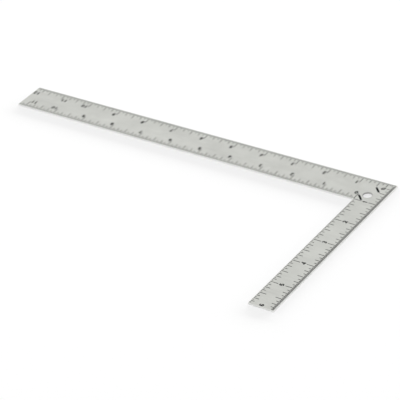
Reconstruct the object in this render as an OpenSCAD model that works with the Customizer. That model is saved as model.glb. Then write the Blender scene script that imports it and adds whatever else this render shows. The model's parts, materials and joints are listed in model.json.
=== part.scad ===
// Steel square ruler: a flat L-shaped blade with four edge scales and a hang hole.
// Every mark is a shallow pocket etched into the upper face, with paint lying in it.
// The outer corner of the underside is the origin. +X runs along the long arm,
// +Y along the short arm and +Z out of the marked face. Sizes are in millimetres.

/* [Blade] */
// Length of the long arm along its outer edge
long_length = 304.8; // [230:0.1:610]
// Length of the short arm along its outer edge
short_length = 152.4; // [80:0.1:410]
// Width of the long arm
long_width = 25.4; // [22:0.1:40]
// Width of the short arm
short_width = 19.05; // [17.8:0.05:40]
// Thickness of the steel
thickness = 1; // [0.8:0.1:3]
// Bevel that breaks the edges of both faces
edge_break = 0.15; // [0.1:0.05:0.3]

/* [Hang hole] */
// Diameter of the hang hole
hole_d = 6.35; // [3:0.05:8]
// Distance of the hole's centre from the outer edge of the short arm
hole_x = 12.7; // [10:0.1:13.5]
// Distance of the hole's centre from the inner edge of the long arm
hole_inset = 7.6; // [6.5:0.1:10]

/* [Scales] */
// Length of one numbered unit
unit = 25.4; // [20:0.1:32]
// Width of a scale line
line_w = 0.5; // [0.2:0.01:0.55]
// Plain land between the bevel and the end of a scale line
line_land = 0.2; // [0.2:0.05:0.4]
// Depth of the etched pockets
etch_depth = 0.1; // [0.05:0.01:0.2]
// How far the paint lies below the upper face
paint_recess = 0.02; // [0.01:0.01:0.04]

/* [Line lengths on the long arm] */
// Unit line
long_inch_line = 6.9; // [6:0.1:8]
// Half line
long_half_line = 5.9; // [5:0.1:6.5]
// Quarter line
long_quarter_line = 4.8; // [4:0.1:5.5]
// Eighth line
long_eighth_line = 3.4; // [2.6:0.1:4.4]
// Sixteenth line
long_sixteenth_line = 1.9; // [1.2:0.1:2.5]

/* [Line lengths on the short arm] */
// Unit line of the inner scale
short_inch_line = 6.4; // [5.6:0.1:6.7]
// Half line of the inner scale
short_half_line = 5.5; // [4.6:0.1:5.7]
// Quarter line of the inner scale
short_quarter_line = 4.3; // [3.4:0.1:5]
// Eighth line of the inner scale
short_eighth_line = 3; // [2:0.1:3.6]
// Sixteenth line of the inner scale
short_sixteenth_line = 1.4; // [1:0.1:1.8]
// How much longer the same lines are on the outer scale
outer_extra = 1; // [0.6:0.1:1.2]
// Thirty-second line, on the outer scale alone
thirty_second_line = 2; // [1:0.1:2.3]

/* [Numbers] */
// Height of a digit
digit_h = 3.4; // [3.4:0.1:3.8]
// Width of a digit
digit_w = 2.4; // [2.2:0.1:2.5]
// Stroke width of a digit
digit_stroke = 0.85; // [0.5:0.05:0.85]
// Gap between the digits of one number
digit_gap = 0.3; // [0.2:0.05:0.5]
// Distance from a long edge to the middle of its row of numbers
number_row = 7.2; // [7:0.1:8]
// Gap between a unit line and the number beside it
number_gap = 0.5; // [0.4:0.1:1.2]
// First number that stands before its line instead of after it
first_before = 11; // [9:1:12]

/* [Corner marks] */
// Distance of the slanted zero from both outer edges
corner_zero = 6.9; // [6.5:0.1:7.4]
// Distance of the outer bar's middle from both outer edges
outer_bar = 9.7; // [9.2:0.1:10]
// Distance of the inner bar's middle from both inner edges
inner_bar = 3.2; // [3.2:0.1:3.5]
// Length of a corner bar
bar_length = 6.4; // [5:0.1:6.4]
// Width of a corner bar
bar_w = 1.4; // [0.5:0.1:1.4]

/* [Hidden] */
$fn = 48;
// Finest divisions in one unit, and the names of the lines from the longest to the shortest
divisions = 32;
classes = ["inch", "half", "quarter", "eighth", "sixteenth", "thirty_second"];
long_lengths = [long_inch_line, long_half_line, long_quarter_line, long_eighth_line, long_sixteenth_line];
short_inner_lengths =
    [short_inch_line, short_half_line, short_quarter_line, short_eighth_line, short_sixteenth_line];
short_outer_lengths = concat([for (l = short_inner_lengths) l + outer_extra], [thirty_second_line]);
// Share of its distance from a corner that a line may reach, so that the scales never cross there
corner_share = 0.75;
// Straight steps in half a turn of a digit's round strokes
arc_steps = 8;
// Spare length of a cutter beyond the surface that it opens
spare = 1;
// Share of a division that rounding errors stay well under
rounding = 0.01;

division = unit / divisions;
line_start = edge_break + line_land;
// Least distance from the middle of a line to the end of its edge
line_margin = line_start + line_w / 2;
pocket_floor = thickness - etch_depth;
hole_y = long_width - hole_inset;
inner_length = long_length - short_width;

scales = ["long_outer", "long_inner", "short_outer", "short_inner"];
// Indices of the classes of line on a scale: only one scale is divided into thirty-seconds
function classes_on(scale) = [0 : len(classes) - (scale == "short_outer" ? 1 : 2)];

// Shapes of the digits

function arc(centre, radius, from, to) =
    let(steps = ceil(abs(to - from) / 180 * arc_steps))
    [for (i = [0 : steps]) let(a = from + (to - from) * i / steps) centre + radius * [cos(a), sin(a)]];

function oval(w, h) =
    [for (i = [0 : 2 * arc_steps - 1]) let(a = 180 * i / arc_steps) [w / 2 * cos(a), h / 2 * sin(a)]];

function along(a, b) = (b - a) / norm(b - a);

function left_of(v) = [-v[1], v[0]];

// Sum of the left normals of the two stretches that meet at point i of a path
function mitre(path, i) =
    let(last = len(path) - 1, before = max(i, 1), after = min(i, last - 1))
    left_of(along(path[before - 1], path[before])) + left_of(along(path[after], path[after + 1]));

function beside(path, i, offset) = let(m = mitre(path, i)) path[i] + 2 * offset * m / (m * m);

module stroke(path, width = digit_stroke) {
    half = width / 2;
    last = len(path) - 1;
    polygon(concat(
        [for (i = [0 : last]) beside(path, i, -half)],
        [for (i = [last : -1 : 0]) beside(path, i, half)]
    ));
}

module eye(w, h) polygon(oval(w - 2 * digit_stroke, h - 2 * digit_stroke));

module loop(w, h) difference() {
    polygon(oval(w, h));
    eye(w, h);
}

// Half sizes of a digit and of its centre line, and the height of the bowl of a six. The bare
// shares in the digits below are parts of these sizes, drawn by eye.
half_w = digit_w / 2;
half_h = digit_h / 2;
mid_w = half_w - digit_stroke / 2;
mid_h = half_h - digit_stroke / 2;
bowl_h = digit_h * 0.6;

module digit_one() {
    stroke([[0, half_h], [0, -half_h]]);
    stroke([[-mid_w, mid_h * 0.5], [0, mid_h * 0.95]]);
}

module digit_two() {
    stroke(concat(arc([0, mid_h - mid_w], mid_w, 170, -30), [[-mid_w * 0.8, -mid_h]]));
    stroke([[-half_w, -mid_h], [half_w, -mid_h]]);
}

module digit_three() {
    r = mid_h / 2;
    stroke(arc([0, r], r, 150, -60));
    stroke(arc([0, -r], r, 60, -150));
    stroke([[-r * 0.45, 0], [r * 0.8, 0]]);
}

// The slant of the four is thinner than its other strokes, which keeps the eye open
module digit_four() {
    stem = mid_w * 0.7;
    bar = -mid_h * 0.62;
    stroke([[stem, mid_h], [-mid_w, bar]], digit_stroke * 0.7);
    stroke([[-half_w, bar], [half_w, bar]]);
    stroke([[stem, half_h], [stem, -half_h]]);
}

module digit_five() stroke(concat(
    [[mid_w, mid_h], [-mid_w * 0.8, mid_h], [-mid_w * 0.9, 0]],
    arc([0, mid_w - mid_h], mid_w, 110, -150)
));

module digit_six() {
    bowl_y = bowl_h / 2 - half_h;
    tail_r = mid_w * 0.92;
    difference() {
        union() {
            translate([0, bowl_y]) polygon(oval(digit_w, bowl_h));
            stroke(concat([[-tail_r, bowl_y - tail_r / 4]], arc([0, mid_h - mid_w], tail_r, 180, 35)));
        }
        translate([0, bowl_y]) eye(digit_w, bowl_h);
    }
}

module digit_seven() stroke([[-half_w, mid_h], [mid_w * 0.75, mid_h], [-mid_w * 0.5, -half_h]]);

module digit_eight() {
    upper_h = digit_h - bowl_h + digit_stroke * 0.8;
    translate([0, bowl_h / 2 - half_h]) loop(digit_w, bowl_h);
    translate([0, half_h - upper_h / 2]) loop(digit_w * 0.9, upper_h);
}

module digit(n) {
    if (n == 0) loop(digit_w, digit_h);
    if (n == 1) digit_one();
    if (n == 2) digit_two();
    if (n == 3) digit_three();
    if (n == 4) digit_four();
    if (n == 5) digit_five();
    if (n == 6) digit_six();
    if (n == 7) digit_seven();
    if (n == 8) digit_eight();
    if (n == 9) rotate(180) digit_six();
}

function digits_in(n) = len(str(n));

function number_w(n) = digits_in(n) * (digit_w + digit_gap) - digit_gap;

// A whole number, centred on the origin and read along +X
module number(n) {
    pitch = digit_w + digit_gap;
    count = digits_in(n);
    for (i = [0 : count - 1])
        translate([(i - (count - 1) / 2) * pitch, 0]) digit(ord(str(n)[i]) - ord("0"));
}

// Scales: u runs along the edge from its zero, v runs inwards from the edge

module on_long_outer() children();

module on_long_inner() translate([short_width, long_width]) mirror([0, 1]) children();

module on_short_outer() mirror([1, -1]) children();

module on_short_inner() translate([short_width, 0]) mirror([1, 0]) mirror([1, -1]) children();

// Class of division i: how often the unit is halved before the halves meet it
function line_class(i, halvings = 0) =
    i % (divisions / pow(2, halvings)) == 0 ? halvings : line_class(i, halvings + 1);

// Lines of one class at every division from u = first to u = last. Lines that run towards another
// scale at a corner are cut short there, and left out where they would be shorter than they are wide.
module lines(class, lengths, first, last, crossing = false) {
    for (i = [ceil(first / division - rounding) : floor(last / division)])
        if (line_class(i) == class) {
            u = i * division;
            end = crossing ? min(lengths[class], corner_share * u) : lengths[class];
            if (end - line_start > line_w)
                translate([u - line_w / 2, line_start]) square([line_w, end - line_start]);
        }
}

module long_outer_lines(class)
    on_long_outer() lines(class, long_lengths, division, long_length - line_margin, true);

module long_inner_lines(class)
    on_long_inner() lines(class, long_lengths, 0, inner_length - line_margin);

module short_outer_lines(class)
    on_short_outer() lines(class, short_outer_lengths, division, short_length - line_margin, true);

module short_inner_lines(class)
    on_short_inner() lines(class, short_inner_lengths, long_width, short_length - line_margin);

module scale_lines(scale, class) {
    if (scale == "long_outer") long_outer_lines(class);
    if (scale == "long_inner") long_inner_lines(class);
    if (scale == "short_outer") short_outer_lines(class);
    if (scale == "short_inner") short_inner_lines(class);
}

// Numbers: those of the long arm have their tops to its inner edge and read away from the corner,
// those of the short arm have their tops to its inner edge and read towards the corner

// Middle of number n on a scale: after its line, or before it where the scale ends too soon
function number_u(n, scale_length) =
    let(away = line_w / 2 + number_gap + number_w(n) / 2)
    let(fits_after = n * unit + away + number_w(n) / 2 + line_start < scale_length)
    n * unit + (n < first_before && fits_after ? away : -away);

module long_outer_numbers_2d() {
    for (n = [1 : floor(long_length / unit)])
        translate([number_u(n, long_length), number_row]) number(n);
}

module long_inner_numbers_2d() {
    for (n = [0 : floor(inner_length / unit)])
        translate([short_width + number_u(n, inner_length), long_width - number_row]) number(n);
}

// The numbers of the short arm stand halfway between the unit lines of its two scales
module short_arm_numbers_2d() {
    middle = (short_outer_lengths[0] + short_width - short_inner_lengths[0]) / 2;
    reach = short_length - line_start - number_gap - digit_w / 2;
    for (n = [1 : floor(short_length / unit)])
        translate([middle, min(n * unit, reach)]) rotate(-90) number(n);
}

module corner_zero_2d() translate([corner_zero, corner_zero]) rotate(135) number(0);

module corner_bars_2d() {
    for (middle = [[outer_bar, outer_bar], [short_width - inner_bar, long_width - inner_bar]])
        translate(middle) rotate(-45) square([bar_length, bar_w], center = true);
}

// Solids

module paint() color([0.05, 0.05, 0.05])
    translate([0, 0, pocket_floor]) linear_extrude(etch_depth - paint_recess) children();

module pocket() translate([0, 0, pocket_floor]) linear_extrude(etch_depth + spare) children();

module mark_pockets() {
    for (s = scales) for (c = classes_on(s)) pocket() scale_lines(s, c);
    pocket() long_outer_numbers_2d();
    pocket() long_inner_numbers_2d();
    pocket() short_arm_numbers_2d();
    pocket() corner_zero_2d();
    pocket() corner_bars_2d();
}

module arms() {
    cube([long_length, long_width, thickness]);
    cube([short_width, short_length, thickness]);
}

// Square bars that bevel the two edges of a side that runs along +X, from before its start
module bevel_cutter(length, before = spare) {
    side = sqrt(2) * edge_break;
    for (z = [0, thickness])
        translate([-before, 0, z]) rotate([45, 0, 0])
            translate([0, -side / 2, -side / 2]) cube([before + length + spare, side, side]);
}

// The two inner sides start in the inner corner, so their cutters start there too
module edge_bevels() {
    bevel_cutter(long_length);
    rotate(90) bevel_cutter(short_length);
    translate([long_length, 0, 0]) rotate(90) bevel_cutter(long_width);
    translate([0, short_length, 0]) bevel_cutter(short_width);
    translate([short_width, long_width, 0]) bevel_cutter(inner_length, 0);
    translate([short_width, long_width, 0]) rotate(90) bevel_cutter(short_length - long_width, 0);
}

// The hole's own rims are broken like the edges of the blade
module hang_hole() {
    r = hole_d / 2;
    translate([hole_x, hole_y, 0]) {
        translate([0, 0, -spare]) cylinder(r = r, h = thickness + 2 * spare);
        translate([0, 0, -spare]) cylinder(r1 = r + edge_break + spare, r2 = r, h = edge_break + spare);
        translate([0, 0, thickness - edge_break])
            cylinder(r1 = r, r2 = r + edge_break + spare, h = edge_break + spare);
    }
}

module steel_blade() color([0.78, 0.78, 0.76]) difference() {
    arms();
    edge_bevels();
    hang_hole();
    mark_pockets();
}

module long_outer_numbers() paint() long_outer_numbers_2d();

module long_inner_numbers() paint() long_inner_numbers_2d();

module short_arm_numbers() paint() short_arm_numbers_2d();

module corner_zero_mark() paint() corner_zero_2d();

module corner_bars() paint() corner_bars_2d();

steel_blade();
for (s = scales) for (c = classes_on(s))
    paint() scale_lines(s, c);
long_outer_numbers();
long_inner_numbers();
short_arm_numbers();
corner_zero_mark();
corner_bars();
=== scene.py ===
"""A steel square ruler on a white studio floor: satin steel, black paint in the marks, soft light."""

import json
import math

import bpy
from mathutils import Matrix, Vector

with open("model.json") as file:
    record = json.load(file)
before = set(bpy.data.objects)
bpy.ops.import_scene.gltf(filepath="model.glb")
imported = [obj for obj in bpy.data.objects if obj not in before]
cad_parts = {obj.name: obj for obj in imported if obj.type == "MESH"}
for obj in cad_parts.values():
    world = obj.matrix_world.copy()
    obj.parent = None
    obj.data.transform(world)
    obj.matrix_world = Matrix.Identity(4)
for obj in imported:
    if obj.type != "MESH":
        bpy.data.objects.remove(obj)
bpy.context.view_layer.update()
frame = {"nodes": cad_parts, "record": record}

# Camera: where it stands and looks, in metres, its roll in degrees, its lens and sensor in millimetres
CAMERA_AT = Vector((-0.6316, 0.9980, 0.7929))
CAMERA_TARGET = Vector((0.1128, 0.0691, -0.0006))
CAMERA_ROLL = -7.5
CAMERA_LENS = 192.1
CAMERA_SENSOR = 36.0

# Lamps: name, compass angle from +X towards +Y, height in degrees, distance, width, depth and radiance
LAMPS = (
    ("overhead", 120, 80, 4.0, 3.0, 3.0, 2.0),
    ("low_back", 278, 4.1, 5.0, 14.0, 0.4, 50.0),
    ("low_right", 5, 11, 5.0, 4.0, 1.1, 3.9),
)
LAMP_TARGET = Vector((0.11, 0.07, 0.0))

# Strength of the sky that lights the floor and of the white studio that the camera and the metal see
AMBIENT = 0.565
STUDIO = 1.0

# The floor lies a hair below the blade, so that the two faces never share a plane
FLOOR_SIZE = 12.0
FLOOR_GAP = 0.00002

# Colours are linear red, green and blue
FLOOR_WHITE = (0.98, 0.98, 0.98)
SATIN_STEEL = (0.598, 0.605, 0.573)
# Ground-finished side steel, its tone raised past real steel as painted light so the sides look brightly
# lit
GROUND_STEEL_PAINTED_BRIGHT = (0.82, 0.82, 0.81)
# Duller drilled steel in the hang hole, darkened further with painted shade for the recess
DRILLED_STEEL_AND_SHADE = (0.42, 0.42, 0.405)
POLISHED_STEEL = (0.72, 0.725, 0.7)
PAINT = (0.012, 0.012, 0.013)
WORN_PAINT = (0.05, 0.05, 0.048)

# Share of itself by which the tone of a metal or of the floor swings to either side
METAL_SWING = 0.12
FLOOR_SWING = 0.002

# Weights of smudges and brushing in the tone of the face, and how far a scratch shows polished steel
SMUDGES_TONE = 0.5
BRUSHING_TONE = 0.5
SCRATCHES_POLISH = 0.5

# Roughness from the smoothest to the roughest spot, and what spots, sides and scratches add to steel
SATIN_ROUGHNESS = (0.34, 0.44)
PAINT_ROUGHNESS = (0.5, 0.68)
FLOOR_ROUGHNESS = (0.85, 0.95)
SPOTS_ADD = 0.06
SIDES_ADD = 0.1
SCRATCHES_ADD = -0.12

# Gloss of what isn't metal
PAINT_GLOSS = 0.1
FLOOR_GLOSS = 0.0

# Bumps: strength, and height in metres, with the weight of each pattern in the height of the steel
STEEL_BUMP = (0.25, 0.00002)
PAINT_BUMP = (0.3, 0.00001)
FLOOR_BUMP = (0.02, 0.0001)
BRUSHING_HEIGHT = 0.6
GRINDING_HEIGHT = 1.0
SCRATCHES_HEIGHT = -0.8

# Noise patterns: cells per metre along X, Y and Z
BRUSHING = (45, 5200, 5200)
GRINDING = (160, 160, 9000)
SMUDGES = (55, 90, 90)
SPECKLE = (1600, 1600, 1600)
SCRATCHED_PATCHES = (90, 90, 90)
WEAR = (700, 700, 700)
PEBBLES = (6000, 6000, 6000)
TOOTH = (400, 400, 400)

# Scratches: cells per metre, turn about Z in degrees, and half width as a step of the noise
SHALLOW_SCRATCHES = ((9, 420, 420), 8.0, 0.012)
STEEP_SCRATCHES = ((14, 300, 300), -31.0, 0.009)

# A noise: the strength of its finer layers, its middle value, and two values that most of it lies between
NOISE_ROUGHNESS = 0.55
NOISE_MIDDLE = 0.5
NOISE_RANGE = (0.3, 0.7)

# Values of its noise between which a pattern goes from none to full
GRINDING_RANGE = (0.35, 0.65)
SPECKLE_RANGE = (0.4, 0.7)
PATCHES_RANGE = (0.55, 0.62)
WEAR_RANGE = (0.55, 0.75)

# How upright a normal is where a side turns into a bevel, and where a bevel turns into a face
SIDE_TO_BEVEL = (0.2, 0.5)
BEVEL_TO_FACE = (0.85, 0.98)

# Width of the broken rim around the hang hole, which is darkened with painted shade
SHADED_RIM_WIDTH = 0.00016


# Small helpers that add nodes and return their outputs

def add(tree, kind, inputs=None, **settings):
    node = tree.nodes.new(kind)
    for key, value in settings.items():
        setattr(node, key, value)
    for key, value in (inputs or {}).items():
        if isinstance(value, bpy.types.NodeSocket):
            tree.links.new(value, node.inputs[key])
        else:
            node.inputs[key].default_value = value
    return node


def calculate(tree, operation, a, b=0.0):
    return add(tree, "ShaderNodeMath", {0: a, 1: b}, operation=operation).outputs[0]


def weighted(tree, *pairs):
    """Sum of values, each times its own weight."""
    terms = [calculate(tree, "MULTIPLY", value, weight) for value, weight in pairs]
    total = terms[0]
    for term in terms[1:]:
        total = calculate(tree, "ADD", total, term)
    return total


def remap(tree, value, from_low, from_high, to_low=0.0, to_high=1.0):
    limits = {"From Min": from_low, "From Max": from_high, "To Min": to_low, "To Max": to_high}
    return add(tree, "ShaderNodeMapRange", {"Value": value, **limits}, clamp=True).outputs["Result"]


def mix_colours(tree, factor, a, b):
    """Mix of two colours. The node repeats its socket names for every type, so they go by number."""
    node = add(tree, "ShaderNodeMix", data_type="RGBA")
    for socket, value in zip((node.inputs[0], node.inputs[6], node.inputs[7]), (factor, a, b)):
        if isinstance(value, bpy.types.NodeSocket):
            tree.links.new(value, socket)
        else:
            socket.default_value = value if socket.type == "VALUE" else (*value, 1.0)
    return node.outputs[2]


def varied(tree, factor, colour, swing):
    """A colour that swings by a share of itself to either side as the factor runs from 0 to 1."""
    return mix_colours(tree, factor, [c * (1 - swing) for c in colour], [c * (1 + swing) for c in colour])


def noise(tree, place, per_metre, turn=0.0, detail=3.0):
    """Noise with its own number of cells per metre along X, Y and Z, turned about Z by some degrees."""
    rotation = (0.0, 0.0, math.radians(turn))
    mapping = add(tree, "ShaderNodeMapping", {"Vector": place, "Rotation": rotation, "Scale": per_metre})
    layers = {"Scale": 1.0, "Detail": detail, "Roughness": NOISE_ROUGHNESS}
    return add(tree, "ShaderNodeTexNoise", {"Vector": mapping.outputs[0], **layers}).outputs[0]


def hairlines(tree, place, per_metre, turn, width):
    """Fine wandering lines where a stretched noise passes its middle value, only in some patches."""
    wander = noise(tree, place, per_metre, turn, detail=0.0)
    off_middle = calculate(tree, "ABSOLUTE", calculate(tree, "SUBTRACT", wander, NOISE_MIDDLE))
    line = remap(tree, off_middle, 0.0, width, 1.0, 0.0)
    patch = remap(tree, noise(tree, place, SCRATCHED_PATCHES, turn, detail=1.0), *PATCHES_RANGE)
    return calculate(tree, "MULTIPLY", line, patch)


def near_axis(tree, place, axis, inside, outside):
    """1 within one distance of an upright axis, fading to 0 at another."""
    level = add(tree, "ShaderNodeVectorMath", {0: place, 1: (1, 1, 0)}, operation="MULTIPLY")
    ends = {0: level.outputs["Vector"], 1: (axis[0], axis[1], 0)}
    away = add(tree, "ShaderNodeVectorMath", ends, operation="DISTANCE")
    return remap(tree, away.outputs["Value"], inside, outside, 1.0, 0.0)


def new_material(name):
    material = bpy.data.materials.new(name)
    material.use_nodes = True
    tree = material.node_tree
    return material, tree, tree.nodes["Principled BSDF"]


def connect(tree, bsdf, colour, roughness, height, strength, distance):
    """Links the colour and roughness, and a bump made from the height."""
    bump = add(tree, "ShaderNodeBump", {"Height": height, "Strength": strength, "Distance": distance})
    for name, value in (("Base Color", colour), ("Roughness", roughness), ("Normal", bump.outputs[0])):
        tree.links.new(value, bsdf.inputs[name])


# Materials

def hole_shade_mask(tree, place):
    """1 on the wall and the rims of the hang hole, which the frame's own mount describes; there the steel
    is darkened with painted shade.
    """
    hole = next(m for m in frame["record"]["mounts"] if m["name"] == "hang_hole")
    radius = hole["dims"]["r_mm"] / 1000
    return near_axis(tree, place, hole["pos_m"], radius + SHADED_RIM_WIDTH, radius + 2 * SHADED_RIM_WIDTH)


def steel_material():
    """Satin sheet, brushed and scratched, with bright bevels, grinding-marked sides lightened with
    painted light, and a dull hole darkened with painted shade.
    """
    material, tree, bsdf = new_material("satin_steel")
    bsdf.inputs["Metallic"].default_value = 1.0
    coordinates = add(tree, "ShaderNodeTexCoord")
    place = coordinates.outputs["Object"]
    facing = add(tree, "ShaderNodeSeparateXYZ", {0: coordinates.outputs["Normal"]})
    upright = calculate(tree, "ABSOLUTE", facing.outputs["Z"])
    side = remap(tree, upright, *SIDE_TO_BEVEL, 1.0, 0.0)
    flat = remap(tree, upright, *BEVEL_TO_FACE)

    brushing = noise(tree, place, BRUSHING)
    grinding = noise(tree, place, GRINDING)
    smudges = noise(tree, place, SMUDGES, detail=4.0)
    speckle = noise(tree, place, SPECKLE, detail=2.0)
    shallow = hairlines(tree, place, *SHALLOW_SCRATCHES)
    steep = hairlines(tree, place, *STEEP_SCRATCHES)
    scratches = calculate(tree, "MAXIMUM", shallow, steep)

    mottle = weighted(tree, (smudges, SMUDGES_TONE), (brushing, BRUSHING_TONE))
    satin = varied(tree, remap(tree, mottle, *NOISE_RANGE), SATIN_STEEL, METAL_SWING)
    polish = calculate(tree, "MULTIPLY", scratches, SCRATCHES_POLISH)
    face = mix_colours(tree, polish, satin, POLISHED_STEEL)
    rim = mix_colours(tree, flat, POLISHED_STEEL, face)
    # Painted light: the sides take this raised tone so that they look bright
    ground_painted_bright = varied(tree, remap(tree, grinding, *GRINDING_RANGE), GROUND_STEEL_PAINTED_BRIGHT, METAL_SWING)
    outside = mix_colours(tree, side, rim, ground_painted_bright)
    # Painted shade: the hole's wall and rim take a darker tone, as if in shadow
    colour = mix_colours(tree, hole_shade_mask(tree, place), outside, DRILLED_STEEL_AND_SHADE)

    brushed = remap(tree, brushing, *NOISE_RANGE, *SATIN_ROUGHNESS)
    spots = remap(tree, speckle, *SPECKLE_RANGE, 0.0, SPOTS_ADD)
    added = ((scratches, SCRATCHES_ADD), (side, SIDES_ADD))
    roughness = weighted(tree, (brushed, 1.0), (spots, 1.0), *added)
    ridges = calculate(tree, "MULTIPLY", grinding, side)
    relief = ((brushing, BRUSHING_HEIGHT), (ridges, GRINDING_HEIGHT), (scratches, SCRATCHES_HEIGHT))
    connect(tree, bsdf, colour, roughness, weighted(tree, *relief), *STEEL_BUMP)
    return material


def paint_material():
    """Dull black enamel, greyed where it is rubbed thin, with a pebbled skin."""
    material, tree, bsdf = new_material("black_paint")
    bsdf.inputs["Specular IOR Level"].default_value = PAINT_GLOSS
    place = add(tree, "ShaderNodeTexCoord").outputs["Object"]
    rubbed = remap(tree, noise(tree, place, WEAR, detail=4.0), *WEAR_RANGE)
    pebbles = noise(tree, place, PEBBLES, detail=2.0)
    colour = mix_colours(tree, rubbed, PAINT, WORN_PAINT)
    roughness = remap(tree, pebbles, *NOISE_RANGE, *PAINT_ROUGHNESS)
    connect(tree, bsdf, colour, roughness, pebbles, *PAINT_BUMP)
    return material


def floor_material():
    """White sweep with a trace of tooth."""
    material, tree, bsdf = new_material("white_floor")
    bsdf.inputs["Specular IOR Level"].default_value = FLOOR_GLOSS
    place = add(tree, "ShaderNodeTexCoord").outputs["Object"]
    tooth = remap(tree, noise(tree, place, TOOTH), *NOISE_RANGE)
    colour = varied(tree, tooth, FLOOR_WHITE, FLOOR_SWING)
    roughness = remap(tree, tooth, 0.0, 1.0, *FLOOR_ROUGHNESS)
    connect(tree, bsdf, colour, roughness, tooth, *FLOOR_BUMP)
    return material


def dress(nodes):
    """Gives every node of the frame the material of its slot."""
    finishes = {"steel": steel_material(), "black_paint": paint_material()}
    for part in frame["record"]["subparts"]:
        mesh = nodes[part["node"]].data
        mesh.materials.clear()
        mesh.materials.append(finishes[part["material_slot"]])


# Studio

def link(name, data):
    made = bpy.data.objects.new(name, data)
    bpy.context.scene.collection.objects.link(made)
    return made


def looking(at, target, roll=0.0):
    """World matrix of a camera or lamp at one point that looks at another."""
    turn = (target - at).to_track_quat("-Z", "Y").to_matrix().to_4x4()
    return Matrix.Translation(at) @ turn @ Matrix.Rotation(math.radians(roll), 4, "Z")


def make_floor():
    half = FLOOR_SIZE / 2
    mesh = bpy.data.meshes.new("floor")
    corners = [(-half, -half), (half, -half), (half, half), (-half, half)]
    mesh.from_pydata([(x, y, -FLOOR_GAP) for x, y in corners], [], [(0, 1, 2, 3)])
    mesh.materials.append(floor_material())
    link("floor", mesh)


def make_world():
    """Even ambient light; the camera and the metal see a white studio instead of it."""
    world = bpy.data.worlds.new("studio")
    world.use_nodes = True
    tree = world.node_tree
    ray = add(tree, "ShaderNodeLightPath")
    shown = calculate(tree, "MAXIMUM", ray.outputs["Is Camera Ray"], ray.outputs["Is Glossy Ray"])
    shown = calculate(tree, "MAXIMUM", shown, ray.outputs["Is Transmission Ray"])
    background = tree.nodes["Background"]
    background.inputs["Color"].default_value = (1.0, 1.0, 1.0, 1.0)
    tree.links.new(remap(tree, shown, 0.0, 1.0, AMBIENT, STUDIO), background.inputs["Strength"])
    bpy.context.scene.world = world


def softbox(name, compass, height, distance, width, depth, radiance):
    """Rectangular lamp that faces the object, set by the radiance of its face instead of its power."""
    a = math.radians(compass)
    e = math.radians(height)
    towards = Vector((math.cos(a) * math.cos(e), math.sin(a) * math.cos(e), math.sin(e)))
    lamp = bpy.data.lights.new(name, "AREA")
    lamp.shape = "RECTANGLE"
    lamp.size = width
    lamp.size_y = depth
    lamp.energy = radiance * math.pi * width * depth
    made = link(name, lamp)
    made.matrix_world = looking(LAMP_TARGET + distance * towards, LAMP_TARGET)
    made.visible_camera = False
    made.visible_glossy = False


def make_camera():
    camera = bpy.data.cameras.new("camera")
    camera.lens = CAMERA_LENS
    camera.sensor_width = CAMERA_SENSOR
    made = link("camera", camera)
    made.matrix_world = looking(CAMERA_AT, CAMERA_TARGET, CAMERA_ROLL)
    bpy.context.scene.camera = made


bpy.context.scene.view_settings.view_transform = "Standard"
dress(frame["nodes"])
make_floor()
make_world()
for lamp in LAMPS:
    softbox(*lamp)
make_camera()
